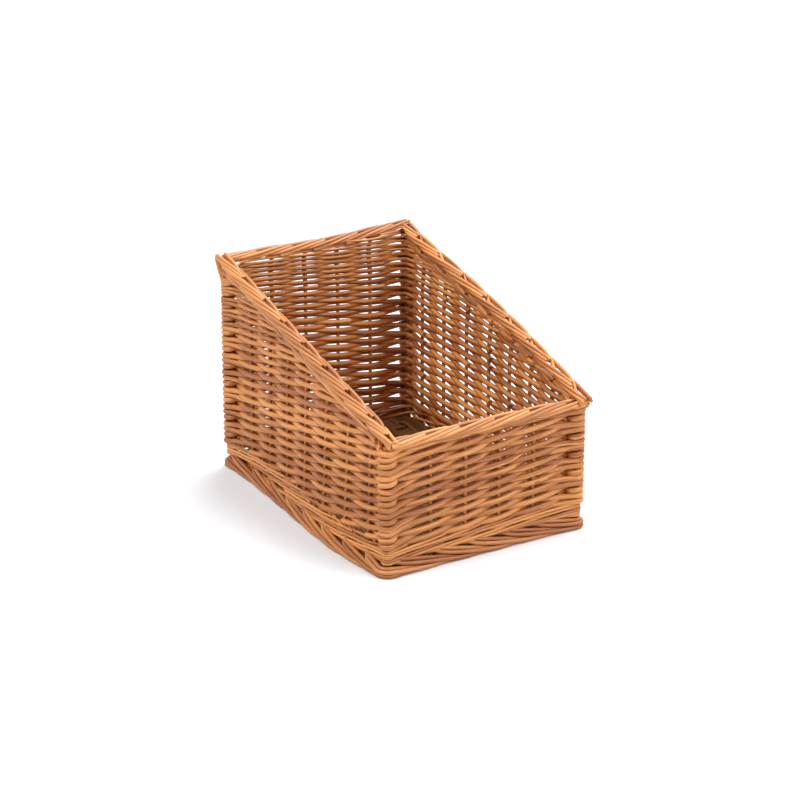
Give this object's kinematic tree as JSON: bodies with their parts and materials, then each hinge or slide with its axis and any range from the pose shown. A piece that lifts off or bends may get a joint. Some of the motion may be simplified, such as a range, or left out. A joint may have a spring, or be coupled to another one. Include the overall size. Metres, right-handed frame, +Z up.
{
  "type": "sloped display basket",
  "caption": "Rectangular wicker display basket with a high back, a low front, a sloping plaited rim, openly woven willow sides and a woven floor on a foot border.",
  "frame": {"origin": "on the ground under the middle of the basket's outline", "axes": "+Z up, +Y from the low front towards the high back, +X to the right as seen from the front"},
  "size_m": [0.2793, 0.4022, 0.2797],
  "materials": {
    "stake_willow": "satin, peeled and boiled willow rods",
    "weaver_willow": "satin, finer woven willow rods",
    "wale_willow": "satin, fine willow rods",
    "foot_willow": "satin, thick willow rods",
    "floor_willow": "matt, fine woven willow rods"
  },
  "bodies": {
    "root": {"back_border_rod_1": "stake_willow", "back_border_rod_2": "stake_willow", "back_border_rod_3": "stake_willow", "back_foot_border": "foot_willow", "back_left_post": "stake_willow", "back_randing": "weaver_willow", "back_right_post": "stake_willow", "back_stake_1": "stake_willow", "back_stake_2": "stake_willow", "back_stake_3": "stake_willow", "back_stake_4": "stake_willow", "back_waling": "wale_willow", "floor_stick_1": "floor_willow", "floor_stick_2": "floor_willow", "floor_stick_3": "floor_willow", "floor_stick_4": "floor_willow", "floor_stick_5": "floor_willow", "floor_stick_6": "floor_willow", "floor_stick_7": "floor_willow", "floor_weave": "floor_willow", "front_border_rod_1": "stake_willow", "front_border_rod_2": "stake_willow", "front_border_rod_3": "stake_willow", "front_foot_border": "foot_willow", "front_left_post": "stake_willow", "front_randing": "weaver_willow", "front_right_post": "stake_willow", "front_stake_1": "stake_willow", "front_stake_2": "stake_willow", "front_stake_3": "stake_willow", "front_stake_4": "stake_willow", "front_waling": "wale_willow", "left_border_rod_1": "stake_willow", "left_border_rod_2": "stake_willow", "left_foot_border": "foot_willow", "left_randing": "weaver_willow", "left_stake_1": "stake_willow", "left_stake_2": "stake_willow", "left_stake_3": "stake_willow", "left_stake_4": "stake_willow", "left_stake_5": "stake_willow", "left_stake_6": "stake_willow", "left_stake_7": "stake_willow", "left_waling": "wale_willow", "right_border_rod_1": "stake_willow", "right_border_rod_2": "stake_willow", "right_border_rod_3": "stake_willow", "right_foot_border": "foot_willow", "right_randing": "weaver_willow", "right_stake_1": "stake_willow", "right_stake_2": "stake_willow", "right_stake_3": "stake_willow", "right_stake_4": "stake_willow", "right_stake_5": "stake_willow", "right_stake_6": "stake_willow", "right_stake_7": "stake_willow", "right_waling": "wale_willow"}
  },
  "joints": []
}
